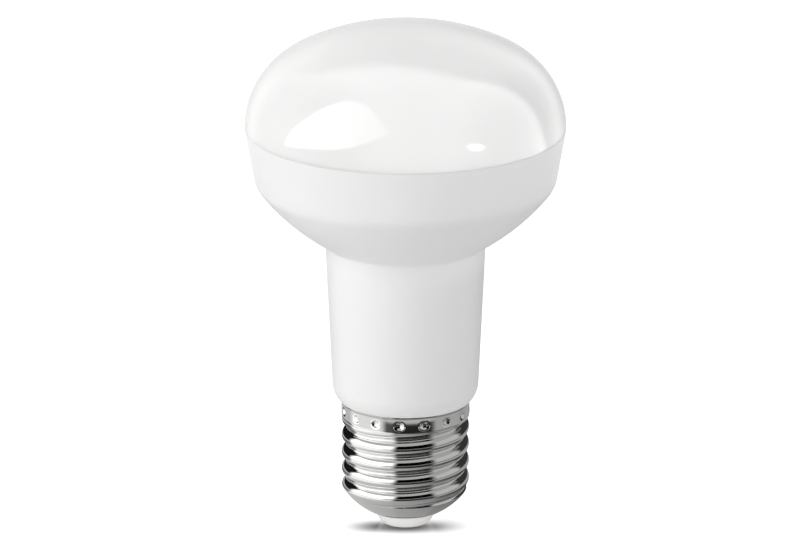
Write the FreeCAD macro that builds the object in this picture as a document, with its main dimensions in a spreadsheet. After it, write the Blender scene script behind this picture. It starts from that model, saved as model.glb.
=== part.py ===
import FreeCAD, Part
import math
import os
import Sketcher

# Reflector bulb on an Edison screw cap, in millimetres.
# The origin is the middle of the contact's flat bottom and +Z is the axis of the bulb.
# Every piece is turned about that axis, and the screw thread is rolled into the cap's sheet.

DRIVING_SIZES = {
    # head: the opal diffuser and the rim that it snaps into
    "seam_radius": 32.5,
    "dome_knuckle": 17.5,
    "dome_lift": 3.5,
    "diffuser_wall": 1.6,
    "rim_wall": 1.2,
    "spigot_depth": 4.0,
    "spigot_clearance": 0.1,
    # housing, from the seam down: tapered side, bowl, neck and foot
    "side_height": 11.5,
    "side_flare": 2.0,
    "shoulder_blend": 6.0,
    "bowl_height": 12.7,
    "bowl_curve": 48.0,
    "crease_blend": 0.8,
    "neck_length": 29.7,
    "neck_taper": 1.38,
    "neck_swell": 1.42,
    "foot_height": 3.6,
    "foot_curve": 5.0,
    "foot_proud": 0.4,
    # screw cap: plain skirt, rolled thread and round lower end
    "cap_height": 27.0,
    "cap_gap": 0.15,
    "cap_sheet": 0.35,
    "skirt_height": 4.0,
    "skirt_step": 0.07,
    "skirt_bevel": 0.35,
    "crest_radius": 13.03,
    "thread_depth": 1.0,
    "trough_fill": 0.096,
    "thread_pitch": 3.629,
    "thread_phase": 2.75,
    "thread_run_in": 1.7,
    "cap_end_spread": 2.6,
    "cap_rim_height": 3.1,
    # the ring of punched dimples that holds the cap on the collar
    "dimple_count": 16,
    "dimple_curve": 1.05,
    "dimple_depth": 0.45,
    "dimple_drop": 2.0,
    "dimple_turn": 5.5,
    # collar of the housing, inside the cap
    "collar_clearance": 0.1,
    "collar_gap": 4.5,
    "collar_lead": 1.5,
    # insulator and contact
    "insulator_clearance": 0.08,
    "insulator_seat": 2.4,
    "insulator_flare": 2.45,
    "insulator_lip": 1.3,
    "insulator_round": 1.2,
    "contact_radius": 3.6,
    "contact_proud": 0.25,
    "contact_thickness": 0.8,
    "contact_bevel": 0.2,
    "contact_clearance": 0.05,
    "pin_radius": 1.0,
}


class Size:
    """A size that knows its number and the sheet formula that it is bound by."""

    def __init__(self, number, formula):
        self.number = number
        self.formula = formula

    def joined(self, other, sign, number):
        return Size(number, f"({self.formula} {sign} {as_size(other).formula})")

    def __add__(self, other):
        return self.joined(other, "+", self.number + as_size(other).number)

    def __sub__(self, other):
        return self.joined(other, "-", self.number - as_size(other).number)

    def __mul__(self, other):
        return self.joined(other, "*", self.number * as_size(other).number)

    def __truediv__(self, other):
        return self.joined(other, "/", self.number / as_size(other).number)

    def __neg__(self):
        return Size(-self.number, f"(0 - {self.formula})")

    def root(self):
        return Size(math.sqrt(self.number), f"sqrt({self.formula})")


def as_size(value):
    return value if isinstance(value, Size) else Size(value, repr(value))


doc = FreeCAD.newDocument("reflector_bulb")
sheet = doc.addObject("Spreadsheet::Sheet", "Sizes")
for row, (alias, value) in enumerate(DRIVING_SIZES.items(), start=1):
    sheet.set(f"A{row}", alias)
    sheet.set(f"B{row}", str(value))
    sheet.setAlias(f"B{row}", alias)
doc.recompute()


def size(alias):
    """The driving size of that name, as the sheet holds it."""
    return Size(float(sheet.get(alias)), f"Sizes.{alias}")


def new_body(name):
    body = doc.addObject("PartDesign::Body", name)
    body.Label = name
    return body


def origin_feature(body, role):
    return next(item for item in body.Origin.OriginFeatures if item.Role == role)


def half_plane_sketch(body, name):
    """A sketch on the XZ plane: its X is the radius and its Y is the height."""
    sketch = body.newObject("Sketcher::SketchObject", name)
    sketch.AttachmentSupport = (origin_feature(body, "XZ_Plane"), "")
    sketch.MapMode = "FlatFace"
    return sketch


def bind(sketch, kind, geometry, end, amount, name):
    """Hold one point of the sketch at a named distance from its origin."""
    index = sketch.addConstraint(Sketcher.Constraint(kind, -1, 1, geometry, end, amount.number))
    sketch.renameConstraint(index, name)
    sketch.setExpression(f"Constraints.{name}", amount.formula)


def bind_radius(sketch, geometry, amount, name):
    index = sketch.addConstraint(Sketcher.Constraint("Radius", geometry, amount.number))
    sketch.renameConstraint(index, name)
    sketch.setExpression(f"Constraints.{name}", amount.formula)


def arc_between(start, end, radius):
    """The short arc through two points, bulging to the right of the way from start to end."""
    chord = end - start
    middle = (start + end) * 0.5
    left = FreeCAD.Vector(-chord.y, chord.x, 0).normalize()
    centre = middle + left * math.sqrt(radius ** 2 - chord.Length ** 2 / 4)
    crown = centre - left * radius
    return Part.Arc(start, crown, end)


def outline(sketch, corners):
    """A closed outline. A corner is (radius, height), or (radius, height, curve) where the edge
    that leaves it is an arc of that curve, bulging to the right, or to the left if negative."""
    points = [FreeCAD.Vector(corner[0].number, corner[1].number, 0) for corner in corners]
    count = len(corners)
    starts = []
    for index, corner in enumerate(corners):
        here = points[index]
        there = points[(index + 1) % count]
        if len(corner) == 2:
            geometry = sketch.addGeometry(Part.LineSegment(here, there), False)
            starts.append((geometry, 1, 2))
            continue
        curve = corner[2]
        if curve.number > 0:
            arc = arc_between(here, there, curve.number)
        else:
            arc = arc_between(there, here, -curve.number)
        geometry = sketch.addGeometry(arc, False)
        first = sketch.getPoint(geometry, 1)
        forward = (first - here).Length < (first - there).Length
        starts.append((geometry, 1, 2) if forward else (geometry, 2, 1))
    for index in range(count):
        geometry, first, last = starts[index]
        following = starts[(index + 1) % count]
        sketch.addConstraint(Sketcher.Constraint("Coincident", geometry, last, following[0], following[1]))
        bind(sketch, "DistanceX", geometry, first, corners[index][0], f"radius_{index}")
        bind(sketch, "DistanceY", geometry, first, corners[index][1], f"height_{index}")
        if len(corners[index]) == 3:
            curve = corners[index][2]
            bind_radius(sketch, geometry, curve if curve.number > 0 else -curve, f"curve_{index}")


def turned(body, name, corners):
    """Turn a closed outline about Z and add it to the body."""
    sketch = half_plane_sketch(body, f"{name}_outline")
    outline(sketch, corners)
    turning = body.newObject("PartDesign::Revolution", name)
    turning.Profile = sketch
    turning.ReferenceAxis = (sketch, ["V_Axis"])
    turning.Angle = 360
    return turning


def turned_away(body, name, corners):
    """Turn a closed outline about Z and cut it from the body."""
    sketch = half_plane_sketch(body, f"{name}_outline")
    outline(sketch, corners)
    groove = body.newObject("PartDesign::Groove", name)
    groove.Profile = sketch
    groove.ReferenceAxis = (sketch, ["V_Axis"])
    groove.Angle = 360
    return groove


def ring_edge(shape, radius, height):
    """The name of the round edge that lies at that radius and height."""
    for number, edge in enumerate(shape.Edges, start=1):
        box = edge.BoundBox
        flat = box.ZLength < 0.01 and abs(box.ZMin - height) < 0.02
        if flat and abs(box.XMax - radius) < 0.02:
            return f"Edge{number}"
    raise ValueError(f"no edge at radius {radius:.2f} and height {height:.2f}")


def rounded(body, name, base, radius, height, curve):
    """Round the edge that lies at that radius and height."""
    doc.recompute()
    fillet = body.newObject("PartDesign::Fillet", name)
    fillet.Base = (base, [ring_edge(base.Shape, radius.number, height.number)])
    fillet.setExpression("Radius", curve.formula)
    return fillet


ZERO = as_size(0)


# Heights and radii that more than one piece takes, each from the driving sizes.
def neck_height():
    return size("cap_height") + size("foot_height")


def crease_height():
    return neck_height() + size("neck_length")


def shoulder_height():
    return crease_height() + size("bowl_height")


def seam_height():
    return shoulder_height() + size("side_height")


def spigot_radius():
    return size("seam_radius") - size("rim_wall") - size("spigot_clearance")


def skirt_radius():
    return size("crest_radius") + size("skirt_step")


def skirt_start():
    return size("cap_height") - size("skirt_height")


def root_radius():
    return size("crest_radius") - size("thread_depth")


def insulator_foot():
    return size("contact_radius") + size("contact_clearance") + size("insulator_lip")


def insulator_top():
    return size("cap_rim_height") + size("insulator_seat")


def cap_rim_radius():
    return insulator_foot() + size("insulator_flare")


def cap_end_curve():
    return skirt_radius() + size("cap_end_spread")


# Diffuser: a blown dome of two arcs, a large crown and a tighter knuckle that meets the rim
# upright, with a plain spigot below that drops inside the rim of the housing.
def diffuser():
    body = new_body("diffuser")
    wall = size("diffuser_wall")
    width = size("seam_radius")
    seam = seam_height()
    knuckle = size("dome_knuckle")
    lift = size("dome_lift")
    flat = width - knuckle
    rise = knuckle + lift
    crown = knuckle + (flat * flat + lift * lift) / (lift * 2)
    across = flat / (crown - knuckle)
    along = (crown - rise) / (crown - knuckle)
    spigot = spigot_radius()
    bore = spigot - wall
    inside = knuckle - wall
    bore_top = seam + (inside * inside - (bore - flat) * (bore - flat)).root()
    turned(body, "diffuser_shell", [
        (ZERO, seam + rise - wall),
        (ZERO, seam + rise, -crown),
        (flat + knuckle * across, seam + knuckle * along, -knuckle),
        (width, seam),
        (spigot, seam),
        (spigot, seam - size("spigot_depth")),
        (bore, seam - size("spigot_depth")),
        (bore, bore_top, inside),
        (flat + inside * across, seam + inside * along, crown - wall),
    ])
    return body


# Screw cap: the same form is made twice, outside and one sheet thickness further in, and the
# cap is what lies between the two, as when a thin tube is rolled over a threaded mandrel.
def thread_ridge(body, inset):
    """One rounded ridge, swept along the pitch helix from below the cap's end into its skirt.
    Its crest and the troughs beside it are equal arcs that meet a quarter of a pitch from the
    crest, halfway down. The core fills the bottom of the troughs, and the ridge ends inside it."""
    pitch = size("thread_pitch")
    half_wave = (size("thread_depth") + size("trough_fill")) / 2
    curve = (pitch * pitch / 16 + half_wave * half_wave) / (half_wave * 2)
    middle = size("crest_radius") - inset - half_wave
    hollow = middle - half_wave + curve
    foot = root_radius() - inset - size("trough_fill") / 2
    base = foot - size("cap_sheet")
    reach = pitch / 2 - (curve * curve - (hollow - foot) * (hollow - foot)).root()
    level = size("thread_phase")
    turns = (skirt_start() + size("thread_run_in") - level) / pitch
    sketch = half_plane_sketch(body, "ridge_outline")
    outline(sketch, [
        (base, level - reach),
        (foot, level - reach, -curve),
        (middle, level - pitch / 4, curve),
        (middle, level + pitch / 4, -curve),
        (foot, level + reach),
        (base, level + reach),
    ])
    ridge = body.newObject("PartDesign::AdditiveHelix", "thread_ridge")
    ridge.Profile = sketch
    ridge.ReferenceAxis = (sketch, ["V_Axis"])
    ridge.Mode = "pitch-turns-angle"
    ridge.setExpression("Pitch", pitch.formula)
    ridge.setExpression("Turns", turns.formula)


def end_centre():
    """The height of the middle of the ball that the cap's lower end is rounded to."""
    curve = cap_end_curve()
    rim = cap_rim_radius()
    return size("cap_rim_height") + (curve * curve - rim * rim).root()


def ball_radius_at(ball, centre, height):
    """How far out a ball on the axis reaches at that height."""
    return (ball * ball - (centre - height) * (centre - height)).root()


def ball_end(body, inset):
    """Round the cap's lower end to a ball, which also lets the thread run out."""
    centre = end_centre()
    ball = cap_end_curve() - inset
    clear = skirt_radius() + size("cap_sheet")
    turned_away(body, "ball_end", [
        (ZERO, centre - ball, ball),
        (clear, centre - (ball * ball - clear * clear).root()),
        (clear, ZERO - clear),
        (ZERO, ZERO - clear),
    ])


def dimples(body, inset):
    """A ring of round dimples punched into the skirt."""
    curve = size("dimple_curve")
    away = skirt_radius() + curve - size("dimple_depth")
    height = size("cap_height") - size("dimple_drop")
    dimple = body.newObject("PartDesign::SubtractiveSphere", "dimple")
    dimple.setExpression("Radius", (curve + inset).formula)
    dimple.AttachmentSupport = (origin_feature(body, "XY_Plane"), "")
    dimple.MapMode = "FlatFace"
    turn = size("dimple_turn")
    dimple.setExpression("AttachmentOffset.Base.x", f"{away.formula} * sin({turn.formula} * 1 deg)")
    dimple.setExpression("AttachmentOffset.Base.y", f"0 - {away.formula} * cos({turn.formula} * 1 deg)")
    dimple.setExpression("AttachmentOffset.Base.z", height.formula)
    doc.recompute()
    ring = body.newObject("PartDesign::PolarPattern", "dimple_ring")
    ring.Originals = [dimple]
    ring.Axis = (origin_feature(body, "Z_Axis"), [""])
    ring.Angle = 360
    ring.setExpression("Occurrences", size("dimple_count").formula)
    body.Tip = ring


def rolled_form(name, inset):
    """The solid inside one face of the rolled sheet, that many millimetres in from its outside."""
    body = new_body(name)
    root = root_radius() - inset
    skirt = skirt_radius() - inset
    step = skirt_start() + inset
    low = size("cap_rim_height")
    high = size("cap_height") - size("cap_gap")
    turned(body, "core", [
        (ZERO, low),
        (root, low),
        (root, step),
        (skirt, step + size("skirt_bevel")),
        (skirt, high),
        (ZERO, high),
    ])
    thread_ridge(body, inset)
    ball_end(body, inset)
    dimples(body, inset)
    return body


def screw_cap():
    outside = rolled_form("cap_outside", ZERO)
    inside = rolled_form("cap_inside", size("cap_sheet"))
    doc.recompute()
    cap = doc.addObject("Part::Cut", "screw_cap")
    cap.Label = "screw_cap"
    cap.Base = outside
    cap.Tool = inside
    return cap


# Housing: one moulding from the rim down to the collar that the cap is punched onto. The lamp is
# sealed, so it is solid inside, with a flat deck behind the diffuser.
def housing():
    body = new_body("housing")
    seam = seam_height()
    width = size("seam_radius")
    shoulder = width - size("side_flare")
    around = skirt_radius() + size("foot_proud")
    neck = around + size("neck_swell")
    crease = neck + size("neck_taper")
    seat = spigot_radius() + size("spigot_clearance")
    deck = seam - size("spigot_depth") - size("spigot_clearance")
    foot = size("cap_height")
    sheet_in = size("cap_sheet") + size("collar_clearance")
    collar = skirt_radius() - sheet_in
    plug = root_radius() - sheet_in
    step = skirt_start() + size("cap_sheet") + size("skirt_bevel") + size("collar_clearance")
    end = insulator_top() + size("collar_gap")
    moulding = turned(body, "moulding", [
        (ZERO, end),
        (plug - size("collar_lead"), end),
        (plug, end + size("collar_lead")),
        (plug, step),
        (collar, step),
        (collar, foot),
        (around, foot, size("foot_curve")),
        (neck, neck_height()),
        (crease, crease_height(), size("bowl_curve")),
        (shoulder, shoulder_height()),
        (width, seam),
        (seat, seam),
        (seat, deck),
        (ZERO, deck),
    ])
    blended = rounded(
        body, "shoulder_round", moulding,
        shoulder, shoulder_height(), size("shoulder_blend"),
    )
    rounded(
        body, "crease_round", blended,
        crease, crease_height(), size("crease_blend"),
    )
    dimples(body, size("cap_sheet") + size("collar_clearance"))
    return body


# Insulator: a plain moulded plug that fills the round end of the cap and stands out below it.
def insulator():
    body = new_body("insulator")
    gap = size("insulator_clearance")
    low = size("cap_rim_height")
    top = insulator_top()
    ball = cap_end_curve() - size("cap_sheet") - gap
    centre = end_centre()
    throat = ball_radius_at(ball, centre, low)
    bore = size("pin_radius") + size("contact_clearance")
    seat = size("contact_radius") + size("contact_clearance")
    recess = size("contact_thickness")
    plug = turned(body, "plug", [
        (bore, recess),
        (seat, recess),
        (seat, size("contact_proud")),
        (insulator_foot(), size("contact_proud")),
        (throat, low, ball),
        (ball_radius_at(ball, centre, top), top),
        (bore, top),
    ])
    rounded(
        body, "plug_round", plug,
        insulator_foot(), size("contact_proud"), size("insulator_round"),
    )
    return body


# Contact: a flat button on a pin that goes up through the insulator.
def contact():
    body = new_body("contact")
    button = size("contact_radius")
    thick = size("contact_thickness")
    bevel = size("contact_bevel")
    pin = size("pin_radius")
    turned(body, "button_and_pin", [
        (ZERO, ZERO),
        (button - bevel, ZERO),
        (button, bevel),
        (button, thick),
        (pin, thick),
        (pin, insulator_top()),
        (ZERO, insulator_top()),
    ])
    return body


def fault_in(item):
    """What is wrong with an object of the document, if anything."""
    if "Invalid" in item.State or "Error" in item.State:
        return f"{item.Name} is {item.State}"
    return ""


def check_piece(piece):
    shape = piece.Shape
    if shape.isNull() or not shape.isValid() or len(shape.Solids) != 1:
        raise ValueError(f"{piece.Label} isn't one valid solid")


pieces = [diffuser(), housing(), screw_cap(), insulator(), contact()]
doc.recompute()
faults = [fault_in(item) for item in doc.Objects if fault_in(item)]
if faults:
    raise ValueError("; ".join(faults))
for piece in pieces:
    check_piece(piece)
os.makedirs("parts", exist_ok=True)
for piece in pieces:
    piece.Shape.exportStep(f"parts/{piece.Label}.step")
    print(f"{piece.Label}: {piece.Shape.Volume:.1f} mm3")
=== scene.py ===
import math

import bpy
import numpy as np
from bpy.props import FloatProperty, FloatVectorProperty, IntProperty, PointerProperty
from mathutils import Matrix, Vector


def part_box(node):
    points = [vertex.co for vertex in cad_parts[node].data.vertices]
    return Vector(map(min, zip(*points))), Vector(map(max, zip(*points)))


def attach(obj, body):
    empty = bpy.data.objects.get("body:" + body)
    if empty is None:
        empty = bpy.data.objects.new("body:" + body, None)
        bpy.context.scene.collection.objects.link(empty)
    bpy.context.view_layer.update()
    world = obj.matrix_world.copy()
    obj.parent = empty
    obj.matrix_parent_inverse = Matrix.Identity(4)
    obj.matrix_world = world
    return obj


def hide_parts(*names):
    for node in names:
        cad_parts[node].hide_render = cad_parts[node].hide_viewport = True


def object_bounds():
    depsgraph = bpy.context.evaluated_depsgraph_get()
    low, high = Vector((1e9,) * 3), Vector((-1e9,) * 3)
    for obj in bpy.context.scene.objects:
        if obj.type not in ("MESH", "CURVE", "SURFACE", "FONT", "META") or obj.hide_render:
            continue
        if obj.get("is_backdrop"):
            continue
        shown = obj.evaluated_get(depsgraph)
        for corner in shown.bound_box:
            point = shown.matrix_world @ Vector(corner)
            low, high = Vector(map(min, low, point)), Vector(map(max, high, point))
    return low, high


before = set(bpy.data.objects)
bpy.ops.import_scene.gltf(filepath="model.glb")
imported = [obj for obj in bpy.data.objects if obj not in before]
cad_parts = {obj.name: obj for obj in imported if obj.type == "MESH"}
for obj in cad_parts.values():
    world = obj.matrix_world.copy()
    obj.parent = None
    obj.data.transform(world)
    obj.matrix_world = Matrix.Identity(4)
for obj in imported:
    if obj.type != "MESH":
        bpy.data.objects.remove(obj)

bl_info = {
    "name": "Reflector bulb",
    "version": (1, 0, 0),
    "blender": (4, 5, 0),
    "location": "View3D > Sidebar > Bulb",
    "description": "Builds a reflector bulb on its screw cap, and the studio it stands in",
    "category": "Add Mesh",
}

ROOT = "root"
MM = 0.001
CAD_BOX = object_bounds()
PHOTO_WIDTH = 800
PHOTO_HEIGHT = 547
WHITE = (1.0, 1.0, 1.0, 1.0)

# An outline has at least this many points on a run, and this many across a rounding.
RUN_POINTS = 7
ROUNDING_POINTS = 11
# Points round a stage card that is turned about Z
CARD_COLUMNS = 96

# What the dome reflects. Its cards stand round the dome's middle: a ball with a ring under it over
# the floor, and before them a window and a lamp. Lengths in metres.
DOME_MIDDLE = 0.09
CANOPY_RADIUS = 0.7
CANOPY_RING = 0.29
CANOPY_OFF_FLOOR = 0.004
WINDOW_AWAY = 0.6
# Directions are in degrees to the right of the front and above level. First the corners of the
# window, then the middle of the lamp, its half width and half height, and its drop to the right.
WINDOW = [
    (-93, -5), (-84, 28), (-83, 42), (-84, 61), (-61, 66), (-27, 53),
    (-13, 34), (-23, 24), (-39, 12), (-53, 5), (-71, 0),
]
LAMP_MIDDLE = (50.5, 9.0)
LAMP_SIZE = (6.0, 4.2)
LAMP_DROP = 2.3
# The canopy's back is a cone of directions, and so is the stretch past the dome from the camera:
# each has an axis, how far from it the cone is whole, and where it ends.
BACK_AXIS = (168.5, 3.0)
BACK_CONE = (52, 62)
ONWARD_CONE = (22, 48)
ONWARD_LEVEL = 0.84

# The contact shadow is an oval on the floor: how far its middle lies to the left of the axis and
# before it, in millimetres, and how much wider it is than deep. Then come the half widths over
# which the floor's colour, darkened in the oval as a painted shadow, returns to its own, and over
# which the added level comes in. Under the bulb the floor also gives back some light of its own,
# which fades out over these distances from the axis.
SHADOW_LEFT = 0.9
SHADOW_BEFORE = 3.3
SHADOW_FLATNESS = 2.5
SHADOW_CORE = (3.0, 12.0)
SHADOW_FADE = (4.0, 17.0)
FILLING_LEVEL = 0.5
FILLING_FADE = (8.0, 40.0)

# What the metal reflects. The cards round it stand as one drum, in millimetres; its floor has a
# hole for the bulb's foot and its ceiling one for the neck. Its levels change over these stretches
# of the way out along the floor and up the wall, counted from their corner, and the near part of
# its floor is darker to the right by a level for each millimetre. The ceiling's own level comes in
# between two heights.
DRUM_RADIUS = 62.0
DRUM_HEIGHT = 56.0
DRUM_OFF_FLOOR = 0.3
DRUM_FLOOR_HOLE = 5.6
DRUM_CEILING_HOLE = 17.5
DRUM_TILT = -0.011
DRUM_CEILING = (54.5, 55.5)
DRUM_STEPS = [(-34.0, -26.0), (-12.0, -5.0), (1.0, 3.0), (8.2, 8.8), (10.0, 12.0)]
# Each sector of the drum: where it starts and ends, in degrees to the right of the front, how soft
# its sides are, and its levels from the floor near the cap to the wall and the ceiling.
DRUM_SECTORS = [
    (-190.0, -106.0, 7.0, (0.42, 0.20, 0.02, 0.60, 0.55, 0.01, 0.40)),
    (-106.0, -36.0, 7.0, (0.46, 1.10, 1.70, 0.95, 0.80, 1.80, 0.55)),
    (-36.0, -20.0, 7.0, (0.46, 1.00, 1.10, 0.10, 0.80, 1.60, 0.55)),
    (-20.0, 47.0, 7.0, (0.42, 0.00, 0.14, 0.02, 0.60, 0.00, 0.52)),
    (47.0, 101.0, 7.0, (0.36, 0.50, 0.10, 0.46, 0.46, 0.60, 0.45)),
    (101.0, 190.0, 7.0, (0.30, 0.42, 0.42, 0.42, 0.42, 0.04, 0.22)),
]


def length(name, description, millimetres):
    """A length that a user can change, in Blender's own unit."""
    return FloatProperty(
        name=name, description=description, default=millimetres * MM, min=0.0, unit="LENGTH",
    )


def colour(name, description, red, green, blue):
    """A colour that a user can change, in linear light."""
    return FloatVectorProperty(
        name=name, description=description, subtype="COLOR",
        default=(red, green, blue), min=0.0, max=1.0,
    )


def angle(name, description, degrees):
    """An angle that a user can change."""
    return FloatProperty(
        name=name, description=description, default=math.radians(degrees), subtype="ANGLE",
    )


def pixels(name, description, count):
    """A distance in the photograph's pixels that a user can change."""
    return FloatProperty(
        name=name, description=description, default=count, min=0.0, subtype="PIXEL",
    )


def amount(name, description, value):
    """A plain number that a user can change."""
    return FloatProperty(name=name, description=description, default=value, min=0.0)


class HeadSizes(bpy.types.PropertyGroup):
    """Sizes of the diffuser and the housing that their boxes don't give."""

    dome_knuckle: length("Dome knuckle", "Radius of the tighter arc that meets the rim", 17.5)
    diffuser_wall: length("Diffuser wall", "Thickness of the opal shell", 1.6)
    rim_wall: length("Rim wall", "Thickness of the housing's rim", 1.2)
    spigot_clearance: length("Spigot clearance", "Gap between the spigot and the rim", 0.1)
    side_height: length("Side height", "Height of the tapered side under the seam", 11.5)
    side_flare: length("Side flare", "How much the side widens on the way up", 2.0)
    shoulder_blend: length("Shoulder blend", "Rounding between the side and the bowl", 6.0)
    bowl_height: length("Bowl height", "Height of the bowl under the side", 12.7)
    bowl_curve: length("Bowl curve", "Radius of the bowl's bulge", 48.0)
    crease_blend: length("Crease blend", "Rounding where the bowl meets the neck", 0.8)
    neck_blend: length("Neck blend", "Rounding where the neck meets the foot", 0.5)
    neck_length: length("Neck length", "Length of the tapered neck", 29.7)
    neck_taper: length("Neck taper", "How much the neck widens on the way up", 1.38)
    neck_swell: length("Neck swell", "How much the foot widens into the neck", 1.42)
    foot_height: length("Foot height", "Height of the rounded foot", 3.6)
    foot_curve: length("Foot curve", "Radius of the foot's bulge", 5.0)
    foot_proud: length("Foot proud", "How far the foot stands out from the cap", 0.4)
    edge_break: length("Edge break", "Rounding of the moulded edges", 0.16)


class CapSizes(bpy.types.PropertyGroup):
    """Sizes of the screw cap, the insulator and the contact that their boxes don't give."""

    sheet: length("Sheet", "Thickness of the rolled sheet", 0.35)
    gap: length("Gap", "Height of the gap between the cap and the housing's foot", 0.15)
    skirt_height: length("Skirt height", "Height of the plain skirt and the gap above it", 4.0)
    skirt_step: length("Skirt step", "How far the skirt stands out past the thread's crests", 0.07)
    skirt_bevel: length("Skirt bevel", "Height of the slope under the skirt", 0.35)
    thread_depth: length("Thread depth", "Depth from the crests to the troughs", 1.0)
    thread_curve: length("Thread curve", "Radius of the rounded crests", 1.6)
    thread_pitch: length("Thread pitch", "Rise of the thread in one turn", 3.629)
    thread_phase: length("Thread phase", "Height of a crest on the +X side", 2.75)
    end_spread: length("End spread", "How much larger than the skirt the round end's ball is", 2.6)
    rim_radius: length("Rim radius", "Radius of the opening in the round end", 7.4)
    fold: length("Fold", "Softness of the folds in the rolled sheet", 0.1)
    # Painted shade: over this band at the sheet's top the nickel's colour is darkened to half,
    # where the sheet meets the housing's foot.
    dull_edge: length("Dull edge", "Height of the dull band at the sheet's top", 0.6)
    dimples: IntProperty(name="Dimples", description="Number of punched dimples", default=16, min=3)
    dimple_curve: length("Dimple curve", "Radius of the punch", 1.05)
    dimple_depth: length("Dimple depth", "Depth of a dimple", 0.45)
    dimple_drop: length("Dimple drop", "Depth of the dimples' middle under the housing's foot", 2.0)
    dimple_turn: angle("Dimple turn", "Turn of the first dimple to the right of the front", -5.5)
    collar_clearance: length("Collar clearance", "Gap between the collar and the sheet", 0.1)
    collar_lead: length("Collar lead", "Slope at the collar's lower end", 1.5)
    insulator_clearance: length("Insulator clearance", "Gap between insulator and sheet", 0.08)
    insulator_lip: length("Insulator lip", "Width of the insulator's flat foot", 1.3)
    insulator_round: length("Insulator round", "Rounding of the insulator's foot", 1.2)
    insulator_waist: length("Insulator waist", "Rounding where the insulator leaves the cap", 0.3)
    contact_thickness: length("Contact thickness", "Thickness of the contact's button", 0.8)
    contact_bevel: length("Contact bevel", "Slope at the button's edge", 0.2)
    contact_clearance: length("Contact clearance", "Gap between contact and insulator", 0.05)
    pin_radius: length("Pin radius", "Radius of the contact's pin", 1.0)


class Finishes(bpy.types.PropertyGroup):
    """Colours of the five finishes."""

    opal: colour("Opal", "Colour of the diffuser", 0.885, 0.882, 0.875)
    housing: colour("Housing", "Colour of the moulded housing", 0.865, 0.865, 0.862)
    nickel: colour("Nickel", "Colour of the plated cap", 0.74, 0.735, 0.725)
    insulator: colour("Insulator", "Colour of the insulator", 0.815, 0.808, 0.795)
    contact: colour("Contact", "Colour of the end contact", 0.72, 0.71, 0.69)


class Studio(bpy.types.PropertyGroup):
    """Camera, lamps, floor and the brightest cards."""

    elevation: angle("Elevation", "How far above level the camera looks down from", 18.0)
    distance: length("Distance", "From the camera to the point that it aims at", 1500.0)
    aim_height: length("Aim height", "Height of the point that the camera is fitted to", 52.0)
    focal_pixels: pixels("Focal pixels", "Focal length in the photograph's pixels", 7387.0)
    aim_right: pixels("Aim right", "Where that point shows, in pixels from the left", 405.5)
    aim_down: pixels("Aim down", "Where that point shows, in pixels from the top", 280.2)
    horizon: amount("Horizon", "Level of the world's light from the sides, where 1 is white", 0.655)
    zenith: amount("Zenith", "Level of the world's light from above", 0.68)
    key: amount("Key", "Level of the key lamp on a surface that faces it", 0.365)
    key_turn: angle("Key turn", "How far round to the left the key lamp stands", 60.0)
    key_rise: angle("Key rise", "How high above level the key lamp stands", 30.0)
    key_away: length("Key away", "How far from the bulb the key lamp stands", 800.0)
    key_width: length("Key width", "Width of the key lamp", 500.0)
    floor_level: amount("Floor level", "What the floor adds so that it shows white", 0.74)
    gloss_ends: length("Gloss ends", "How far from the axis the floor keeps a gloss", 45.0)
    window_level: amount("Window level", "Level of the window that the dome reflects", 4.6)
    lamp_level: amount("Lamp level", "Level of the small lamp that the dome reflects", 14.0)
    floor: colour("Floor", "Colour of the floor", 0.86, 0.86, 0.86)


def chosen(name):
    """The settings of one group, as they stand in the scene."""
    return getattr(bpy.context.scene, name)


# Lines and surfaces


def run(start, end, bulge):
    """One run of an outline, as its length and a function that gives the points at distances along
    it. bulge is 0 for a straight run, and otherwise the radius of a short arc, which bulges to the
    right of the way from start to end, or to the left where it is negative."""
    chord = end - start
    width = np.hypot(*chord)
    if bulge == 0:
        return width, lambda along: start + np.outer(along / width, chord)
    side = math.copysign(1.0, bulge)
    radius = abs(bulge)
    left = side * np.array([-chord[1], chord[0]]) / width
    centre = (start + end) / 2 + left * math.sqrt(radius**2 - width**2 / 4)
    first = math.atan2(*(start - centre)[::-1])

    def point_at(along):
        turn = first + side * np.asarray(along) / radius
        return centre + radius * np.stack([np.cos(turn), np.sin(turn)], axis=-1)

    return 2 * radius * math.asin(width / 2 / radius), point_at


def eased(count):
    """Numbers from 0 to 1 that lie closer together near both ends: half of 1 minus the cosine."""
    return (1 - np.cos(np.linspace(0, math.pi, count))) / 2


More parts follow.
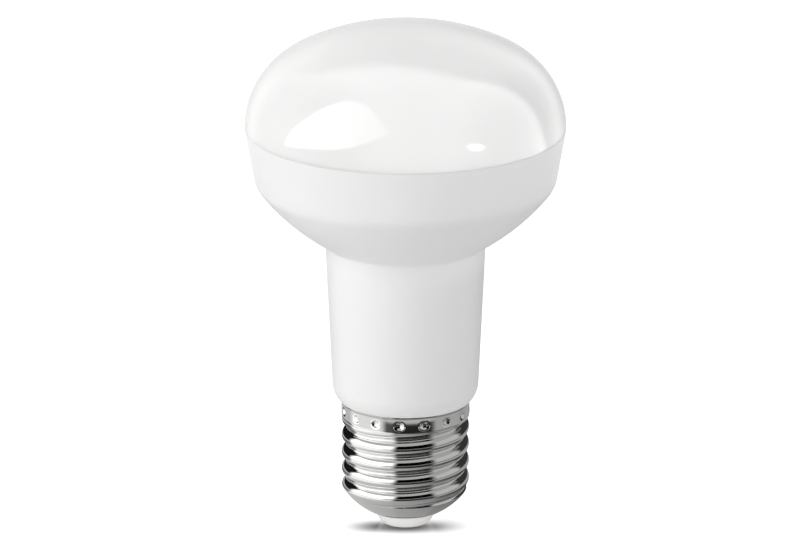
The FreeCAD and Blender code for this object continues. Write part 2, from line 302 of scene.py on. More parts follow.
def outline(corners, step, closed):
    """The line of a turned piece, as rows of radius and height. A corner is (radius, height,
    rounding, bulge of the run that leaves it). A rounded corner is the parabola that touches both
    runs at the rounding's radius times the tangent of half the turn, away from the corner."""
    places = [np.array(corner[:2], float) for corner in corners]
    count = len(corners)
    last_run = count if closed else count - 1
    runs = [run(places[i], places[(i + 1) % count], corners[i][3]) for i in range(last_run)]
    near = 1e-7
    cuts = []
    for i, corner in enumerate(corners):
        if corner[2] == 0 or not (closed or 0 < i < count - 1):
            cuts.append(0.0)
            continue
        before, point_before = runs[i - 1]
        heading = (places[i] - point_before([before - near])[0]) / near
        leaving = (runs[i][1]([near])[0] - places[i]) / near
        turn = math.acos(max(-1.0, min(1.0, float(heading @ leaving))))
        cuts.append(corner[2] * math.tan(turn / 2))
    rows = []
    share = np.linspace(0, 1, ROUNDING_POINTS)[1:-1, None]
    rest = 1 - share
    for i, (whole, point_at) in enumerate(runs):
        following = (i + 1) % count
        first, last = cuts[i], whole - cuts[following]
        samples = max(RUN_POINTS, int((last - first) / step) + 1)
        rows.append(point_at(first + (last - first) * eased(samples)))
        if cuts[following]:
            leaving = runs[following][1]([cuts[following]])
            reached = rows[-1][-1]
            corner = places[following]
            rows.append(rest**2 * reached + 2 * share * rest * corner + share**2 * leaving)
    line = np.vstack(rows)
    moved = np.hypot(*np.diff(line, axis=0).T) > near
    line = np.vstack([line[:1], line[1:][moved]])
    return line[:-1] if closed and np.hypot(*(line[-1] - line[0])) < near else line


def quads(index):
    """The faces between rows of a grid of point numbers whose columns go once round the axis."""
    here, above = index[:-1], index[1:]
    corners = [here, np.roll(here, -1, 1), np.roll(above, -1, 1), above]
    return np.stack(corners, axis=-1).reshape(-1, 4)


def surface(name, grid, poles=()):
    """A closed mesh on a grid of points whose columns go once round the axis. The rows close on
    themselves, or end in a fan of triangles round each of the two poles."""
    rows, columns = grid.shape[:2]
    index = np.arange(rows * columns).reshape(rows, columns)
    points = grid.reshape(-1, 3)
    if not len(poles):
        faces = quads(np.vstack([index, index[:1]])).tolist()
    else:
        faces = quads(index).tolist()
        points = np.vstack([points, poles])
        low, high = index[0], index[-1]
        bottom = np.full(columns, rows * columns)
        faces += np.stack([bottom, np.roll(low, -1), low], axis=-1).tolist()
        faces += np.stack([high, np.roll(high, -1), bottom + 1], axis=-1).tolist()
    mesh = bpy.data.meshes.new(name)
    mesh.from_pydata((points * MM).tolist(), [], faces)
    mesh.validate()
    mesh.shade_smooth()
    piece = bpy.data.objects.new(name, mesh)
    bpy.context.scene.collection.objects.link(piece)
    return piece


def around(turns, radii, heights):
    """Points at those turns about Z, radii and heights: radius times cosine, radius times sine and
    height."""
    radii, heights, turns = np.broadcast_arrays(radii, heights, turns)
    return np.stack([radii * np.cos(turns), radii * np.sin(turns), heights], axis=-1)


def turned(name, corners, step, columns, ring=False):
    """A piece turned about Z: its outline carried round the axis in that many columns, with its
    rows about a step apart. The outline starts and ends on the axis, where a pole closes it, or
    goes round on itself for a ring."""
    line = outline(corners, step, ring)
    turns = np.linspace(0, 2 * math.pi, columns, endpoint=False)
    if ring:
        return surface(name, around(turns, line[:, :1], line[:, 1:]))
    poles = np.array([[0, 0, line[0, 1]], [0, 0, line[-1, 1]]])
    return surface(name, around(turns, line[1:-1, :1], line[1:-1, 1:]), poles)


def low_and_high(node):
    """The lowest and highest corners of a CAD node's box, in millimetres."""
    low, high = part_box(node)
    return low / MM, high / MM


def lengths(group):
    """The lengths among a group of settings, by name, in millimetres."""
    kinds = group.bl_rna.properties
    names = [name for name in group.__annotations__ if kinds[name].unit == "LENGTH"]
    return {name: getattr(group, name) / MM for name in names}


def stand_for(piece, node, material):
    """Let a finished piece stand for its CAD node, with that finish."""
    piece.data.materials.append(material)
    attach(piece, ROOT)
    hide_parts(node)


# Materials


class Term:
    """A socket's output that can be reckoned with: an expression on it adds its Math nodes."""

    def __init__(self, tree, socket):
        self.tree = tree
        self.socket = socket

    def math(self, operation, *values):
        return self.tree.node("ShaderNodeMath", {"operation": operation}, dict(enumerate(values)))

    def __add__(self, other):
        return self.math("ADD", self, other)

    def __radd__(self, other):
        return self.math("ADD", other, self)

    def __sub__(self, other):
        return self.math("SUBTRACT", self, other)

    def __rsub__(self, other):
        return self.math("SUBTRACT", other, self)

    def __mul__(self, other):
        return self.math("MULTIPLY", self, other)

    def __rmul__(self, other):
        return self.math("MULTIPLY", other, self)

    def __truediv__(self, other):
        return self.math("DIVIDE", self, other)

    def __rtruediv__(self, other):
        return self.math("DIVIDE", other, self)

    def most(self, other):
        return self.math("MAXIMUM", self, other)

    def root(self):
        return self.math("SQRT", self)

    def turn_from(self, other):
        """The angle whose tangent is this over the other, in degrees."""
        return self.math("ARCTAN2", self, other) * (180 / math.pi)

    def step(self, low, high):
        """0 below low, 1 above high and a smooth rise between."""
        ranges = {"Value": self, "From Min": low, "From Max": high}
        return self.tree.node("ShaderNodeMapRange", {"interpolation_type": "SMOOTHSTEP"}, ranges)


def shade(colour_value, factor):
    """A colour times a factor, as Blender's sockets take it."""
    return (*[min(1.0, channel * factor) for channel in colour_value], 1.0)


class Tree:
    """A node tree that is built from scratch."""

    def __init__(self, owner):
        owner.use_nodes = True
        self.tree = owner.node_tree
        self.tree.nodes.clear()

    def node(self, kind, settings, inputs, output=0):
        """Add a node of that type: its settings first, then the values or links of its sockets."""
        made = self.tree.nodes.new(kind)
        for name, value in settings.items():
            setattr(made, name, value)
        for name, value in inputs.items():
            if isinstance(value, Term):
                self.tree.links.new(value.socket, made.inputs[name])
            else:
                made.inputs[name].default_value = value
        return Term(self, made.outputs[output]) if len(made.outputs) else None

    def place(self):
        """Where a point lies on the piece, in metres."""
        return self.node("ShaderNodeTexCoord", {}, {}, "Object")

    def parts(self, vector):
        """The X, Y and Z of a vector."""
        return [self.node("ShaderNodeSeparateXYZ", {}, {"Vector": vector}, axis) for axis in "XYZ"]

    def ray(self, kind):
        """1 for a ray of that kind, such as Is Camera Ray, and 0 for others."""
        return self.node("ShaderNodeLightPath", {}, {}, kind)

    def stretched(self, place, across, along):
        """A place with its X and Y times one number and its Z times another."""
        factors = {0: place, 1: (across, across, along)}
        return self.node("ShaderNodeVectorMath", {"operation": "MULTIPLY"}, factors)

    def noise(self, place, per_metre, detail=3.0, roughness=0.5):
        """Cloudy noise from 0 to 1 with that many cells to a metre."""
        inputs = {"Vector": place, "Scale": per_metre, "Detail": detail, "Roughness": roughness}
        return self.node("ShaderNodeTexNoise", {}, inputs, "Fac")

    def blend(self, share, first, second):
        """From the first colour to the second as share goes from 0 to 1."""
        return self.node("ShaderNodeMix", {"data_type": "RGBA"}, {0: share, 6: first, 7: second}, 2)

    def mottled(self, noise, base, darkest, lightest):
        """A colour that varies with a noise, from one factor of itself to another."""
        return self.blend(noise.step(0.3, 0.7), shade(base, darkest), shade(base, lightest))

    def bump(self, height, millimetres, strength=1.0):
        """The surface's normal under a relief of that height where height is 1."""
        inputs = {"Height": height, "Distance": millimetres * MM, "Strength": strength}
        return self.node("ShaderNodeBump", {}, inputs)

    def show(self, shader):
        """Make that shader the material's surface."""
        self.node("ShaderNodeOutputMaterial", {}, {"Surface": shader})


def new_material(name):
    """A material and its empty tree."""
    material = bpy.data.materials.new(name)
    return material, Tree(material)


def opal_plastic(base):
    """Glossy opal plastic: even and milky, with the faint unevenness of a blown surface."""
    material, tree = new_material("opal_plastic")
    place = tree.place()
    cloud = tree.noise(place, 45.0, 2.0)
    ripple = tree.noise(place, 70.0, 1.0)
    speck = tree.noise(place, 2600.0, 2.0)
    tree.show(tree.node("ShaderNodeBsdfPrincipled", {}, {
        "Base Color": tree.mottled(cloud, base, 0.985, 1.01),
        "Roughness": 0.04 + 0.04 * speck + 0.03 * cloud,
        "Normal": tree.bump(ripple + 0.02 * speck, 0.03),
        "Subsurface Weight": 0.5,
        "Subsurface Radius": (1.0, 0.98, 0.95),
        "Subsurface Scale": 2.0 * MM,
        "IOR": 1.5,
    }))
    return material


def moulded_plastic(base):
    """Satin white moulded plastic with a fine eroded grain."""
    material, tree = new_material("moulded_plastic")
    place = tree.place()
    grain = tree.noise(place, 3800.0, 3.0, 0.6)
    cloud = tree.noise(place, 60.0, 3.0)
    tree.show(tree.node("ShaderNodeBsdfPrincipled", {}, {
        "Base Color": tree.mottled(0.6 * cloud + 0.4 * grain, base, 0.98, 1.01),
        "Roughness": 0.42 + 0.16 * grain,
        "Normal": tree.bump(grain, 0.035),
        "IOR": 1.46,
    }))
    return material


def nickel_plate(name, base, roughness, painted_shade_from=math.inf):
    """Bright nickel on rolled sheet: fine marks run round the axis, under faint clouds of handling.
    Above a height, in millimetres, its colour darkens to half: a painted shade where the sheet
    meets the housing."""
    material, tree = new_material(name)
    place = tree.place()
    marks = tree.noise(tree.stretched(place, 150.0, 9000.0), 1.0, 4.0, 0.6)
    cloud = tree.noise(place, 220.0, 4.0, 0.6)
    speck = tree.noise(place, 5200.0, 2.0)
    tone = tree.mottled(0.5 * cloud + 0.5 * marks, base, 0.95, 1.03)
    if painted_shade_from < math.inf:
        height = tree.parts(place)[2] * (1 / MM)
        # Painted shade: the sheet's top band is darkened to half its colour, under the housing's
        # foot.
        tone = tree.blend(height.step(painted_shade_from, painted_shade_from + 0.4), tone, shade(base, 0.5))
    tree.show(tree.node("ShaderNodeBsdfPrincipled", {}, {
        "Base Color": tone,
        "Metallic": 1.0,
        "Roughness": roughness + 0.02 * cloud + 0.04 * speck * marks,
        "Normal": tree.bump(marks + 0.5 * speck, 0.0002),
    }))
    return material


def insulator_plastic(base):
    """Smooth off-white moulded plastic, a little cloudy."""
    material, tree = new_material("insulator_plastic")
    place = tree.place()
    cloud = tree.noise(place, 240.0, 3.0)
    grain = tree.noise(place, 3000.0, 2.0)
    tree.show(tree.node("ShaderNodeBsdfPrincipled", {}, {
        "Base Color": tree.mottled(cloud, base, 0.97, 1.02),
        "Roughness": 0.32 + 0.12 * grain,
        "Normal": tree.bump(grain, 0.01),
        "Subsurface Weight": 0.2,
        "Subsurface Radius": (1.0, 0.9, 0.8),
        "Subsurface Scale": 1.0 * MM,
    }))
    return material


def lit(tree, level, most):
    """Light of a level that varies over the card, from none to the most."""
    dark = tree.node("ShaderNodeEmission", {}, {"Color": WHITE, "Strength": 0.0})
    bright = tree.node("ShaderNodeEmission", {}, {"Color": WHITE, "Strength": most})
    return tree.node("ShaderNodeMixShader", {}, {0: level * (1 / most), 1: dark, 2: bright})


def glow(name, strength):
    """The material of a card of one level."""
    material, tree = new_material(name)
    tree.show(tree.node("ShaderNodeEmission", {}, {"Color": WHITE, "Strength": strength}))
    return material


def floor_material(base, level, gloss_ends):
    """A pale floor with a painted shadow under the bulb, where its colour darkens to a fifth. Seen
    by the camera or in a gloss, it adds a level of its own away from the bulb, so that it shows
    white where no shadow lies on it. Both go by the contact shadow's oval. The floor has a gloss
    near the axis only, which fades out."""
    material, tree = new_material("pale_floor")
    place = tree.place()
    x, y, _ = tree.parts(place)
    away = (x * x + y * y).root() * (1 / MM)
    wide = x + SHADOW_LEFT * MM
    deep = (y + SHADOW_BEFORE * MM) * SHADOW_FLATNESS
    oval = (wide * wide + deep * deep).root() * (1 / MM)
    seen = tree.ray("Is Camera Ray").most(0.4 * tree.ray("Is Glossy Ray"))
    filling = tree.ray("Is Diffuse Ray") * (1 - away.step(*FILLING_FADE)) * FILLING_LEVEL
    cloud = tree.noise(place, 30.0, 2.0)
    pale = tree.mottled(cloud, base, 0.99, 1.01)
    plain = tree.node("ShaderNodeBsdfPrincipled", {}, {
        # Painted shadow: in the oval's core the floor's colour is a fifth of its own.
        "Base Color": tree.blend(oval.step(*SHADOW_CORE), shade(base, 0.2), pale),
        "Roughness": 1.0,
        "Specular IOR Level": 0.0,
    })
    glossy = tree.node("ShaderNodeBsdfPrincipled", {}, {
        "Base Color": WHITE, "Metallic": 1.0, "Roughness": 0.1,
    })
    mirrored = tree.node("ShaderNodeFresnel", {}, {"IOR": 1.6})
    share = (1 - away.step(gloss_ends / 3, gloss_ends)) * mirrored
    faced = tree.node("ShaderNodeMixShader", {}, {0: share, 1: plain, 2: glossy})
    added = lit(tree, seen * oval.step(*SHADOW_FADE) * level + filling, 1.0)
    tree.show(tree.node("ShaderNodeAddShader", {}, {0: faced, 1: added}))
    return material


def drum_material():
    """What the metal reflects: white from the left, a black flag before it, and greys round the
    right, as DRUM_SECTORS says. Only the inner face shows."""
    material, tree = new_material("drum")
    x, y, z = tree.parts(tree.place())
    turn = x.turn_from(0 - y)
    along = ((x * x + y * y).root() + z) * (1 / MM) - DRUM_RADIUS
    ceiling = (z * (1 / MM)).step(*DRUM_CEILING)
    steps = [along.step(first, last) for first, last in DRUM_STEPS]
    total = (1 - steps[0]) * x * (DRUM_TILT / MM)
    for first, last, softness, levels in DRUM_SECTORS:
        begun = turn.step(first - softness, first + softness)
        ended = turn.step(last - softness, last + softness)
        level = levels[0]
        for before, after, step in zip(levels, levels[1:-1], steps):
            level = level + step * (after - before)
        total = total + (begun - ended) * (level + ceiling * (levels[-1] - levels[-2]))
    behind = tree.node("ShaderNodeNewGeometry", {}, {}, "Backfacing")
    clear = tree.node("ShaderNodeBsdfTransparent", {}, {})
    tree.show(tree.node("ShaderNodeMixShader", {}, {0: behind, 1: lit(tree, total, 2.0), 2: clear}))
    return material


def within(cosine, cone):
    """1 in a cone and 0 outside it, from the cosine of the angle off its axis. The cone is whole up
    to the first of two angles in degrees, and ends at the second."""
    whole, end = (math.cos(math.radians(turn)) for turn in cone)
    return cosine.step(end, whole)


def canopy_material(centre, elevation):
    """What the dome reflects: a softbox before and above it, brighter to the right, a plain white
    behind with a paler strip on the left, and one even level straight on from the camera."""
    material, tree = new_material("canopy")
    x, y, z = [part - middle for part, middle in zip(tree.parts(tree.place()), centre)]
    away = (x * x + y * y + z * z).root()
    x, y, z = x / away, y / away, z / away
    axis = towards(*map(math.radians, BACK_AXIS))
    backwards = x * axis.x + y * axis.y + z * axis.z
    front = 0.7 + 2.8 * x.step(-0.9, 0.0) + 2.0 * x.step(-0.1, 0.6)
    back = 1.35 - 0.25 * (0.86 * x + 0.5 * z).step(-0.03, 0.03) + 1.25 * x.step(-0.1, 0.5)
    level = front + within(backwards, BACK_CONE) * (back - front)
    onwards = y * math.cos(elevation) - z * math.sin(elevation)
    level = level + within(onwards, ONWARD_CONE) * (ONWARD_LEVEL - level)
    tree.show(lit(tree, level, 6.0))
    return material


# Pieces


def seam():
    """The radius and height of the seam between the diffuser and the housing."""
    high = low_and_high("housing")[1]
    return high.x, high.z


class BULB_OT_diffuser(bpy.types.Operator):
    """Build the opal diffuser: a crown arc that runs into a tighter knuckle arc, and a spigot"""

    bl_idname = "bulb.diffuser"
    bl_label = "Diffuser"

    def execute(self, context):
        sizes = lengths(chosen("bulb_head"))
        low, high = low_and_high("diffuser")
        width, level = seam()
        knuckle = sizes["dome_knuckle"]
        wall = sizes["diffuser_wall"]
        fine = sizes["edge_break"]
        flat = width - knuckle
        lift = high.z - level - knuckle
        crown = knuckle + (flat**2 + lift**2) / (2 * lift)
        across = flat / (crown - knuckle)
        along = (crown - knuckle - lift) / (crown - knuckle)
        spigot = width - sizes["rim_wall"] - sizes["spigot_clearance"]
        bore = spigot - wall
        inside = knuckle - wall
        bore_top = level + math.sqrt(inside**2 - (bore - flat) ** 2)
        piece = turned("opal_dome", [
            (0, high.z - wall, 0, -(crown - wall)),
            (flat + inside * across, level + inside * along, 0, -inside),
            (bore, bore_top, 0, 0),
            (bore, low.z, fine, 0),
            (spigot, low.z, fine, 0),
            (spigot, level, 0, 0),
            (width, level, fine / 2, knuckle),
            (flat + knuckle * across, level + knuckle * along, 0, crown),
            (0, high.z, 0, 0),
        ], step=0.45, columns=288)
        stand_for(piece, "diffuser", opal_plastic(chosen("bulb_finishes").opal))
        return {"FINISHED"}


class BULB_OT_housing(bpy.types.Operator):
    """Build the housing: foot, tapered neck, bowl and side, with the collar inside the cap"""

    bl_idname = "bulb.housing"
    bl_label = "Housing"

    def execute(self, context):
        sizes = lengths(chosen("bulb_head"))
        cap = lengths(chosen("bulb_cap"))
        low = low_and_high("housing")[0]
        cap_high = low_and_high("screw_cap")[1]
        width, level = seam()
        fine = sizes["edge_break"]
        seat = width - sizes["rim_wall"]
        deck = low_and_high("diffuser")[0].z - sizes["spigot_clearance"]
        shoulder = level - sizes["side_height"]
        crease = shoulder - sizes["bowl_height"]
        neck = crease - sizes["neck_length"]
        foot = neck - sizes["foot_height"]
        foot_radius = cap_high.x + sizes["foot_proud"]
        neck_radius = foot_radius + sizes["neck_swell"]
        sheet_in = cap["sheet"] + cap["collar_clearance"]
        collar = cap_high.x - sheet_in - cap["dimple_depth"]
        plug = cap_high.x - cap["skirt_step"] - cap["thread_depth"] - sheet_in
        step = foot - cap["skirt_height"] + sheet_in + cap["skirt_bevel"]
        lead = cap["collar_lead"]
        piece = turned("white_housing", [
            (0, low.z, 0, 0),
            (plug - lead, low.z, fine, 0),
            (plug, low.z + lead, fine, 0),
            (plug, step, fine, 0),
            (collar, step, fine, 0),
            (collar, foot, 0, 0),
            (foot_radius, foot, fine, sizes["foot_curve"]),
            (neck_radius, neck, sizes["neck_blend"], 0),
            (neck_radius + sizes["neck_taper"], crease, sizes["crease_blend"], sizes["bowl_curve"]),
            (width - sizes["side_flare"], shoulder, sizes["shoulder_blend"], 0),
            (width, level, fine / 2, 0),
            (seat, level, fine, 0),
            (seat, deck, fine, 0),
            (0, deck, 0, 0),
        ], step=0.6, columns=256)
        white = moulded_plastic(chosen("bulb_finishes").housing)
        stand_for(piece, "housing", white)
        return {"FINISHED"}


def softer_least(first, second, softness):
    """Close to the smaller of two numbers: half of their sum less the root of their difference
    squared plus the softness squared."""
    return (first + second - np.sqrt((first - second) ** 2 + softness**2)) / 2


def softer_most(first, second, softness):
    """Close to the larger of two numbers, as softer_least is to the smaller."""
    return -softer_least(-first, -second, softness)


class RolledSheet:
    """The form of the screw cap's sheet, as a radius at each turn about the axis and height."""

    # Rows of its grid on the round end, the thread, the skirt and the inside, and steps over each
    # half of the lip and across the rim
    END_ROWS = 34
    THREAD_ROWS = 230
    SKIRT_ROWS = 38
    INSIDE_ROWS = 60
    LIP_STEPS = 3
    RIM_STEPS = 4
    # Columns across a dimple, and from there to the next
    DIMPLE_COLUMNS = 11
    PLAIN_COLUMNS = 5

    def __init__(self, group, low, high):
        sizes = lengths(group)
        self.sizes = sizes
        self.dimples = group.dimples
        self.first_dimple = group.dimple_turn - math.pi / 2
        self.rim = low.z
        self.top = high.z
        self.skirt = high.x
        self.crest = high.x - sizes["skirt_step"]
        self.root = self.crest - sizes["thread_depth"]
        self.foot = self.top + sizes["gap"]
        self.start = self.foot - sizes["skirt_height"]
        self.ball = self.skirt + sizes["end_spread"]
        self.centre = self.rim + math.sqrt(self.ball**2 - sizes["rim_radius"] ** 2)

    def thread(self, turns, heights):
        """The rolled thread: a wide arc for the crest and a narrow one for the trough, which meet
        at one slope, on a helix that rises one pitch in a turn."""
        pitch = self.sizes["thread_pitch"]
        depth = self.sizes["thread_depth"]
        curve = self.sizes["thread_curve"]
        both = (pitch**2 / 4 + depth**2) / (2 * depth)
        meet = curve * pitch / (2 * both)
        climb = heights - self.sizes["thread_phase"] - pitch * turns / (2 * math.pi)
        off_crest = np.abs((climb + pitch / 2) % pitch - pitch / 2)
        off_trough = pitch / 2 - off_crest
        crest = self.crest - curve + np.sqrt(np.maximum(curve**2 - off_crest**2, 0))
        hollow = both - curve
        trough = self.root + hollow - np.sqrt(np.maximum(hollow**2 - off_trough**2, 0))
        return np.where(off_crest < meet, crest, trough)

    def dimple(self, turns, heights, inset):
        """The ring of dimples: the near side of a ball that is punched into the skirt, and past the
        ball's edge a number larger than any radius."""
        sector = 2 * math.pi / self.dimples
        off = (turns - self.first_dimple + sector / 2) % sector - sector / 2
        away = self.skirt + self.sizes["dimple_curve"] - self.sizes["dimple_depth"]
        level = self.foot - self.sizes["dimple_drop"]
        ball = self.sizes["dimple_curve"] + inset
        left = ball**2 - (heights - level) ** 2 - (away * np.sin(off)) ** 2
        near = away * np.cos(off) - np.sqrt(np.maximum(left, 0))
        return np.where(left > 0, near, 2 * self.skirt)

    def radius(self, turns, heights, inset=0.0):
        """The sheet's radius: the thread, cut by the end's ball, then the larger of that and the
        skirt with its slope, and last the smaller of that and the dimples."""
        fold = self.sizes["fold"]
        thread = self.thread(turns, heights) - inset
        depth = np.minimum(heights - self.centre, 0)
        end = np.sqrt(np.maximum((self.ball - inset) ** 2 - depth**2, 0))
        rolled = softer_least(thread, end, fold)
        rise = (heights - self.start - inset) * (self.skirt - self.root) / self.sizes["skirt_bevel"]
        skirt = softer_least(self.root + rise, np.full_like(heights, self.skirt), 2 * fold) - inset
        banded = softer_most(rolled, np.maximum(skirt, 0), fold / 2)
        return softer_least(banded, self.dimple(turns, heights, inset), fold)

    def columns(self):
        """Turns about the axis, closer together across each dimple, to a quarter past its punch."""
        sector = 2 * math.pi / self.dimples
        half = 1.25 * self.sizes["dimple_curve"] / self.skirt
        across = np.linspace(-half, half, self.DIMPLE_COLUMNS, endpoint=False)
        between = np.linspace(half, sector - half, self.PLAIN_COLUMNS, endpoint=False)
        offsets = np.concatenate([across, between])
        return (self.first_dimple + sector * np.arange(self.dimples)[:, None] + offsets).ravel()

    def grid(self):
        """Rows up the outside, over the top lip, down the inside and across the rim."""
        turns = self.columns()[None, :]
        lip = self.sizes["sheet"] / 4
        end_top = self.rim + (self.start - self.rim) / 5
        outside = np.concatenate([
            np.linspace(self.rim, end_top, self.END_ROWS, endpoint=False),
            np.linspace(end_top, self.start, self.THREAD_ROWS, endpoint=False),
            np.linspace(self.start, self.top - lip, self.SKIRT_ROWS),
        ])[:, None]
        inside = np.linspace(self.top - lip, self.rim, self.INSIDE_ROWS)[:, None]
        bend = np.linspace(0, math.pi / 2, self.LIP_STEPS + 1)[1:, None]
        cosine, sine = lip * np.cos(bend), lip * np.sin(bend)
        inner = self.skirt - self.sizes["sheet"]
        outer_lip = around(turns, self.skirt - lip + cosine, self.top - lip + sine)
        inner_lip = around(turns, inner + lip - sine, self.top - lip + cosine)
        outer_wall = around(turns, self.radius(turns, outside), outside)
        inner_wall = around(turns, self.radius(turns, inside, self.sizes["sheet"]), inside)
        share = np.linspace(0, 1, self.RIM_STEPS + 1)[1:-1, None, None]
        rim = (1 - share) * inner_wall[-1] + share * outer_wall[0]
        return np.vstack([outer_wall, outer_lip, inner_lip[:-1], inner_wall, rim])


class BULB_OT_screw_cap(bpy.types.Operator):
    """Build the screw cap: one rolled sheet with its round end, thread, plain skirt and dimples"""

    bl_idname = "bulb.screw_cap"
    bl_label = "Screw cap"

    def execute(self, context):
        sheet = RolledSheet(chosen("bulb_cap"), *low_and_high("screw_cap"))
        piece = surface("rolled_cap", sheet.grid())
        nickel = chosen("bulb_finishes").nickel
        # The painted shade at the sheet's top starts this far under its top edge.
        painted_shade_from = sheet.top - sheet.sizes["dull_edge"]
        plate = nickel_plate("nickel_plate", nickel, roughness=0.015, painted_shade_from=painted_shade_from)
        stand_for(piece, "screw_cap", plate)
        return {"FINISHED"}


class BULB_OT_insulator(bpy.types.Operator):
    """Build the insulator: a moulded plug that fills the cap's round end and stands out below it"""

    bl_idname = "bulb.insulator"
    bl_label = "Insulator"

    def execute(self, context):
        cap = lengths(chosen("bulb_cap"))
        low, high = low_and_high("insulator")
        sheet = RolledSheet(chosen("bulb_cap"), *low_and_high("screw_cap"))
        contact = low_and_high("contact")[1].x
        ball = sheet.ball - cap["sheet"] - cap["insulator_clearance"]
        throat = math.sqrt(ball**2 - (sheet.centre - sheet.rim) ** 2)
        shoulder = math.sqrt(ball**2 - (sheet.centre - high.z) ** 2)
        bore = cap["pin_radius"] + cap["contact_clearance"]
        seat = contact + cap["contact_clearance"]
        recess = cap["contact_thickness"]
        fine = cap["contact_bevel"] / 2
        piece = turned("insulator_plug", [
            (bore, recess, 0, 0),
            (seat, recess, 0, 0),
            (seat, low.z, fine, 0),
            (seat + cap["insulator_lip"], low.z, cap["insulator_round"], ball),
            (throat, sheet.rim, cap["insulator_waist"], 0),
            (shoulder, high.z, fine, 0),
            (bore, high.z, fine, 0),
        ], step=0.3, columns=192, ring=True)
        off_white = insulator_plastic(chosen("bulb_finishes").insulator)
        stand_for(piece, "insulator", off_white)
        return {"FINISHED"}


class BULB_OT_contact(bpy.types.Operator):
    """Build the end contact: a flat button on a pin"""

    bl_idname = "bulb.contact"
    bl_label = "Contact"

    def execute(self, context):
        cap = lengths(chosen("bulb_cap"))
        low, high = low_and_high("contact")
        bevel = cap["contact_bevel"]
        pin = cap["pin_radius"]
        piece = turned("contact_button", [
            (0, low.z, 0, 0),
            (high.x - bevel, low.z, bevel, 0),
            (high.x, low.z + bevel, bevel, 0),
            (high.x, cap["contact_thickness"], 0, 0),
            (pin, cap["contact_thickness"], 0, 0),
            (pin, high.z, 0, 0),
            (0, high.z, 0, 0),
        ], step=0.3, columns=128)
        plate = nickel_plate("contact_plate", chosen("bulb_finishes").contact, roughness=0.16)
        stand_for(piece, "contact", plate)
        return {"FINISHED"}


# Studio


def towards(turn, rise):
    """The direction that many radians to the right of the front, and that far above level."""
    level = math.cos(rise)
    return Vector((math.sin(turn) * level, -math.cos(turn) * level, math.sin(rise)))


def add_camera(studio):
    """A long lens that puts the fitted point where the photograph has it."""
    camera = bpy.data.cameras.new("camera")
    camera.sensor_width = 36.0
    camera.lens = studio.focal_pixels * camera.sensor_width / PHOTO_WIDTH
    holder = bpy.data.objects.new("camera", camera)
    bpy.context.scene.collection.objects.link(holder)
    back = towards(0.0, studio.elevation)
    turn = (-back).to_track_quat("-Z", "Y")
    per_pixel = studio.distance / studio.focal_pixels
    right = turn @ Vector((1.0, 0.0, 0.0))
    up = turn @ Vector((0.0, 1.0, 0.0))
    aim = Vector((0.0, 0.0, studio.aim_height))
    aim += right * (PHOTO_WIDTH / 2 - studio.aim_right) * per_pixel
    aim += up * (studio.aim_down - PHOTO_HEIGHT / 2) * per_pixel
    holder.location = aim + back * studio.distance
    holder.rotation_mode = "QUATERNION"
    holder.rotation_quaternion = turn
    bpy.context.scene.camera = holder


def add_key_lamp(studio):
    """A square lamp. It gives a surface that faces it the key's level of light, where 1 is white:
    its power is that level times the squares of pi and of the distance."""
    lamp = bpy.data.lights.new("key", "AREA")
    lamp.size = studio.key_width
    lamp.energy = studio.key * math.pi**2 * studio.key_away**2
    holder = bpy.data.objects.new("key", lamp)
    bpy.context.scene.collection.objects.link(holder)
    back = towards(-studio.key_turn, studio.key_rise)
    holder.location = Vector((0.0, 0.0, studio.aim_height)) + back * studio.key_away
    holder.rotation_mode = "QUATERNION"
    holder.rotation_quaternion = (-back).to_track_quat("-Z", "Y")
    holder.visible_glossy = False


def add_world(studio):
    """A white world to the camera and in a gloss, and the ambient light to everything else."""
    world = bpy.data.worlds.new("studio")
    bpy.context.scene.world = world
    tree = Tree(world)
    seen = tree.ray("Is Camera Ray")
    for kind in ("Is Glossy Ray", "Is Transmission Ray"):
        seen = seen.most(tree.ray(kind))
    rise = tree.parts(tree.node("ShaderNodeTexCoord", {}, {}, "Generated"))[2]
    low = tree.node("ShaderNodeBackground", {}, {"Color": WHITE, "Strength": studio.horizon})
    high = tree.node("ShaderNodeBackground", {}, {"Color": WHITE, "Strength": studio.zenith})
    ambient = tree.node("ShaderNodeMixShader", {}, {0: rise.step(0.0, 1.0), 1: low, 2: high})
    shown = tree.node("ShaderNodeBackground", {}, {"Color": WHITE, "Strength": 1.0})
    mixed = tree.node("ShaderNodeMixShader", {}, {0: seen, 1: ambient, 2: shown})
    tree.node("ShaderNodeOutputWorld", {}, {"Surface": mixed})


def flat_mesh(name, points, faces, material):
    """A stage mesh from points in metres."""
    mesh = bpy.data.meshes.new(name)
    mesh.from_pydata(points, [], faces)
    mesh.materials.append(material)
    thing = bpy.data.objects.new(name, mesh)
    bpy.context.scene.collection.objects.link(thing)
    thing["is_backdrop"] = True
    return thing


def add_floor(studio):
    """A square floor under the bulb, much larger than the view."""
    half = 4.0
    corners = [(-half, -half, 0.0), (half, -half, 0.0), (half, half, 0.0), (-half, half, 0.0)]
    material = floor_material(studio.floor, studio.floor_level, studio.gloss_ends / MM)
    flat_mesh("floor", corners, [(0, 1, 2, 3)], material)


def gloss_only(card):
    """Let a card show in a gloss and nowhere else, and cast no shadow."""
    card.visible_camera = False
    card.visible_diffuse = False
    card.visible_transmission = False
    card.visible_shadow = False


def add_round_card(name, line, material):
    """A card turned about Z from rows of radius and height in metres, which go up its outside and
    in over its top. Its faces look inward."""
    turns = np.linspace(0, 2 * math.pi, CARD_COLUMNS, endpoint=False)
    points = around(turns, line[:, :1], line[:, 1:]).reshape(-1, 3)
    faces = quads(np.arange(len(points)).reshape(-1, CARD_COLUMNS))[:, ::-1]
    gloss_only(flat_mesh(name, points.tolist(), faces.tolist(), material))


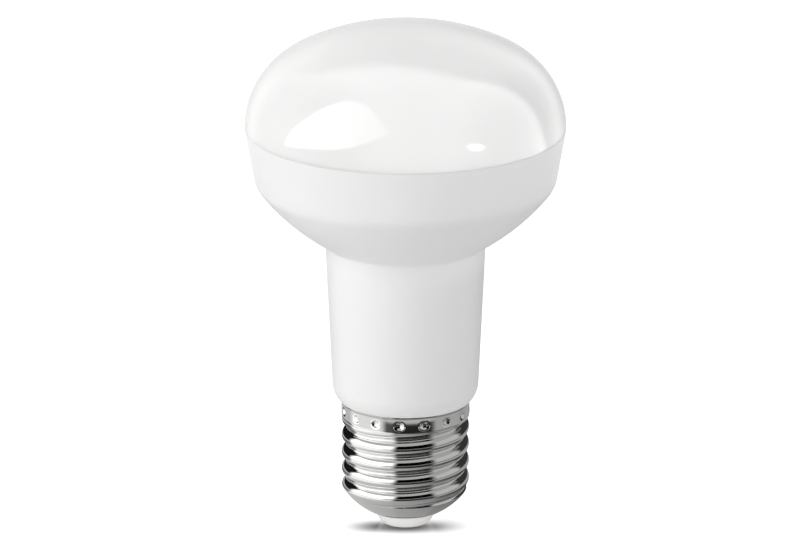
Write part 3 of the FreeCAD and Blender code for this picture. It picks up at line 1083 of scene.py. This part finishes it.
def add_drum():
    """The cards round the cap as one closed drum: a floor with a hole for the foot of the bulb, an
    upright wall, and a ceiling under the bowl with a hole for the neck."""
    line = [
        (DRUM_FLOOR_HOLE, DRUM_OFF_FLOOR),
        (DRUM_RADIUS, DRUM_OFF_FLOOR),
        (DRUM_RADIUS, DRUM_HEIGHT),
        (DRUM_CEILING_HOLE, DRUM_HEIGHT),
    ]
    add_round_card("drum", np.array(line) * MM, drum_material())


def add_patch(name, strength, corners, centre):
    """A card for one reflection: a fan of triangles through directions from a centre, as degrees to
    the right of the front and above level."""
    ring = [centre + towards(*map(math.radians, corner)) * WINDOW_AWAY for corner in corners]
    middle = sum(ring, Vector()) / len(ring)
    count = len(ring)
    faces = [(count, i, (i + 1) % count) for i in range(count)]
    gloss_only(flat_mesh(name, [*ring, middle], faces, glow(name, strength)))


def add_canopy(centre, elevation):
    """A ring over the floor round the bulb, and from its edge a ball up and over the dome."""
    edge = math.acos((CANOPY_OFF_FLOOR - centre.z) / CANOPY_RADIUS)
    top, rows = 0.02, 32
    polar = np.linspace(edge, top, rows)
    ball = np.stack([np.sin(polar), np.cos(polar)], axis=-1) * CANOPY_RADIUS + [0, centre.z]
    line = np.vstack([[(CANOPY_RING, CANOPY_OFF_FLOOR)], ball])
    add_round_card("canopy", line, canopy_material(centre, elevation))


def lamp_corners():
    """The directions round the small lamp: an oval that drops to the right."""
    count = 24
    rounds = np.linspace(0, 2 * math.pi, count, endpoint=False)
    turns = LAMP_MIDDLE[0] + LAMP_SIZE[0] * np.cos(rounds)
    rises = LAMP_MIDDLE[1] - LAMP_SIZE[1] * np.sin(rounds) - LAMP_DROP * np.cos(rounds)
    return np.stack([turns, rises], axis=-1).tolist()


class BULB_OT_stage(bpy.types.Operator):
    """Set up the camera, the key lamp, the white floor and the cards that the bulb reflects"""

    bl_idname = "bulb.stage"
    bl_label = "Studio"

    def execute(self, context):
        studio = chosen("bulb_studio")
        scene = context.scene
        scene.view_settings.view_transform = "Standard"
        add_camera(studio)
        add_world(studio)
        add_floor(studio)
        add_key_lamp(studio)
        dome = Vector((0.0, 0.0, DOME_MIDDLE))
        add_drum()
        add_canopy(dome, studio.elevation)
        add_patch("window", studio.window_level, WINDOW, dome)
        add_patch("oval", studio.lamp_level, lamp_corners(), dome)
        return {"FINISHED"}


class BULB_PT_sidebar(bpy.types.Panel):
    """The bulb's pieces, sizes and colours"""

    bl_label = "Reflector bulb"
    bl_idname = "BULB_PT_sidebar"
    bl_space_type = "VIEW_3D"
    bl_region_type = "UI"
    bl_category = "Bulb"

    def draw(self, context):
        for operator in OPERATORS:
            self.layout.operator(operator.bl_idname)
        for name in GROUPS:
            box = self.layout.box()
            group = getattr(context.scene, name)
            for setting in group.__annotations__:
                box.prop(group, setting)


GROUPS = {
    "bulb_head": HeadSizes,
    "bulb_cap": CapSizes,
    "bulb_finishes": Finishes,
    "bulb_studio": Studio,
}
OPERATORS = (
    BULB_OT_diffuser,
    BULB_OT_housing,
    BULB_OT_screw_cap,
    BULB_OT_insulator,
    BULB_OT_contact,
    BULB_OT_stage,
)


def register():
    """Add the groups of settings, the operators and the panel."""
    for name, group in GROUPS.items():
        bpy.utils.register_class(group)
        setattr(bpy.types.Scene, name, PointerProperty(type=group))
    for operator in OPERATORS:
        bpy.utils.register_class(operator)
    bpy.utils.register_class(BULB_PT_sidebar)


def unregister():
    """Take them away again, in the opposite order."""
    bpy.utils.unregister_class(BULB_PT_sidebar)
    for operator in reversed(OPERATORS):
        bpy.utils.unregister_class(operator)
    for name, group in reversed(GROUPS.items()):
        delattr(bpy.types.Scene, name)
        bpy.utils.unregister_class(group)


def main():
    """Register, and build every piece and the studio."""
    register()
    bpy.ops.bulb.diffuser()
    bpy.ops.bulb.housing()
    bpy.ops.bulb.screw_cap()
    bpy.ops.bulb.insulator()
    bpy.ops.bulb.contact()
    bpy.ops.bulb.stage()
    boxes = {"cad": CAD_BOX, "visual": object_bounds()}
    plain = {name: [list(corner) for corner in box] for name, box in boxes.items()}


if __name__ == "__main__":
    main()
